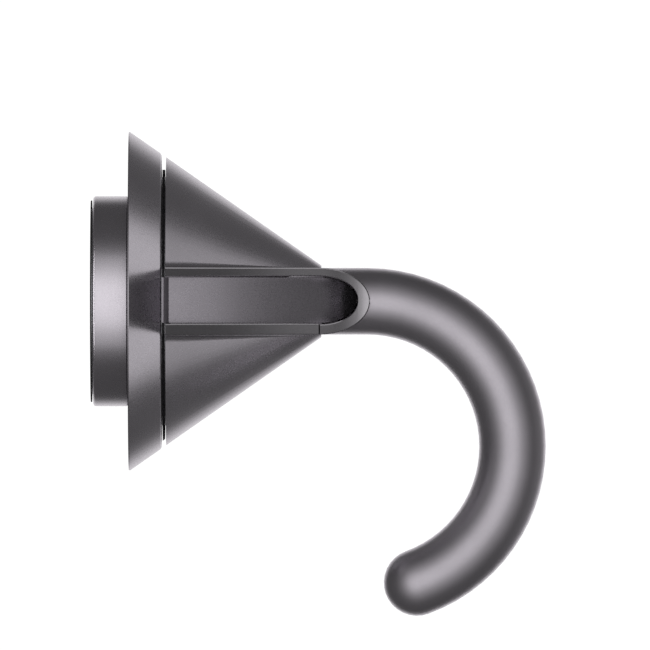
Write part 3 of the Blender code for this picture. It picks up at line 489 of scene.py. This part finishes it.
def add_camera():
    data = bpy.data.cameras.new("side_camera")
    data.sensor_width = SENSOR_WIDTH
    data.lens = SENSOR_WIDTH * VIEW_DISTANCE / VIEW_WIDTH
    data.clip_start = CLIP_NEAR
    data.clip_end = CLIP_FAR
    camera = bpy.data.objects.new("side_camera", data)
    camera.location = (VIEW_CENTRE[0], -VIEW_DISTANCE, VIEW_CENTRE[1])
    camera.rotation_euler = (math.radians(90.0), 0.0, 0.0)
    bpy.context.scene.collection.objects.link(camera)
    bpy.context.scene.camera = camera


# ---------------------------------------------------------------- build

def build_pieces():
    """Puts finer pieces in place of the seen CAD nodes, and finishes the others."""
    nickel = (0.50, 0.485, 0.51)
    turned = satin_metal("turned_satin_nickel", nickel, 0.29)
    satin = satin_metal("satin_nickel_tube", nickel, 0.39)
    satin_cup = satin_metal("satin_nickel_cup", nickel, 0.27)
    # The rail's colour is darker than the cone's nickel: painted shade on the rim and rail, which
    # are the same nickel
    rail = satin_metal("satin_rail_painted_shade", (0.40, 0.395, 0.405), 0.22, 0.15)
    # The channel floor's colour, 0.8 of the nickel, is painted shade for the recess of the deep
    # channel
    channel_floor_painted_shade = satin_metal("satin_nickel_channel_painted_shade", (0.40, 0.385, 0.41), 0.29, 0.1)
    steel = plain_finish(
        "zinc_plated_steel", (0.42, 0.43, 0.45), (0.58, 0.59, 0.60), 1.0, 0.35, 400.0
    )
    finishes = {
        "zinc_steel": steel,
        "spring_steel": plain_finish(
            "oiled_spring_steel", (0.22, 0.22, 0.24), (0.34, 0.34, 0.37), 1.0, 0.30, 600.0
        ),
        "cast_aluminium": plain_finish(
            "machined_aluminium", (0.55, 0.56, 0.58), (0.68, 0.69, 0.70), 1.0, 0.38, 500.0
        ),
        "bearing_bronze": plain_finish(
            "bearing_bronze_finish", (0.42, 0.27, 0.12), (0.58, 0.40, 0.21), 1.0, 0.45, 700.0
        ),
        "black_rubber": plain_finish(
            "black_rubber_finish", (0.012, 0.012, 0.012), (0.03, 0.03, 0.03), 0.0, 0.75, 900.0
        ),
        "black_nylon": plain_finish(
            "black_nylon_finish", (0.014, 0.014, 0.015), (0.03, 0.03, 0.032), 0.0, 0.5, 900.0
        ),
    }

    cup = refined("base_cup", "cup", satin_cup, "base")
    flange = refined("flange_ring", "flange", turned, "base")
    cone = refined("cone_shell", "cone", turned, "hook_head", 0.0)
    rim = split_rim(cone, "channel_rim", rail, "hook_head")
    trough = refined(
        "channel_liner", "channel_floor", channel_floor_painted_shade, "hook_head", CHANNEL_ROUNDING
    )
    strip = refined(
        "channel_strip", "channel_rail", rail, "hook_head", CHANNEL_ROUNDING
    )
    tube = refined("hook_arm", "hook_tube", satin, "hook_head", 0.0)
    refined("wall_plate", "plate", steel, "base", PLATE_ROUNDING)

    for part in frame["record"]["subparts"]:
        if part["material_slot"] in finishes and not frame["nodes"][part["node"]].hide_render:
            refinish(part["node"], finishes[part["material_slot"]])
    return cup, flange, cone, rim, trough, strip, tube


def build_lights(cup, flange, cone, rim, trough, strip, tube):
    aim = Vector(SIDE_LIGHT_AIM)
    side = aim + SIDE_LIGHT_DISTANCE * Vector(SIDE_LIGHT_DIRECTION)
    behind = aim + TUBE_LIGHT_DISTANCE * Vector(TUBE_LIGHT_DIRECTION)
    add_softbox("side_softbox", side, aim, SIDE_LIGHT_SIZE, SIDE_LIGHT_POWER, (flange,))
    add_softbox("cone_softbox", side, aim, CONE_LIGHT_SIZE, CONE_LIGHT_POWER, (cone,))
    add_softbox("tube_softbox", behind, aim, TUBE_LIGHT_SIZE, TUBE_LIGHT_POWER, (tube,))
    add_softbox(
        "cup_softbox", CUP_LIGHT_PLACE, CUP_LIGHT_AIM, CUP_LIGHT_SIZE, CUP_LIGHT_POWER, (cup,)
    )
    add_softbox(
        "floor_softbox", TROUGH_LIGHT_PLACE, TROUGH_LIGHT_AIM, TROUGH_LIGHT_SIZE,
        TROUGH_LIGHT_POWER, (trough,), through=True
    )
    add_softbox(
        "edge_softbox", EDGE_LIGHT_PLACE, EDGE_LIGHT_AIM, EDGE_LIGHT_SIZE, EDGE_LIGHT_POWER, (cup,)
    )
    add_softbox(
        "top_softbox", TOP_LIGHT_PLACE, TOP_LIGHT_AIM, TOP_LIGHT_SIZE, TOP_LIGHT_POWER, (rim, strip)
    )
    add_softbox(
        "rim_softbox", RIM_LIGHT_PLACE, RIM_LIGHT_AIM, RIM_LIGHT_SIZE, RIM_LIGHT_POWER, (rim, strip)
    )


def main():
    pieces = build_pieces()
    build_floor()
    build_world()
    build_lights(*pieces)
    add_camera()
    bpy.context.scene.view_settings.view_transform = "Standard"


main()
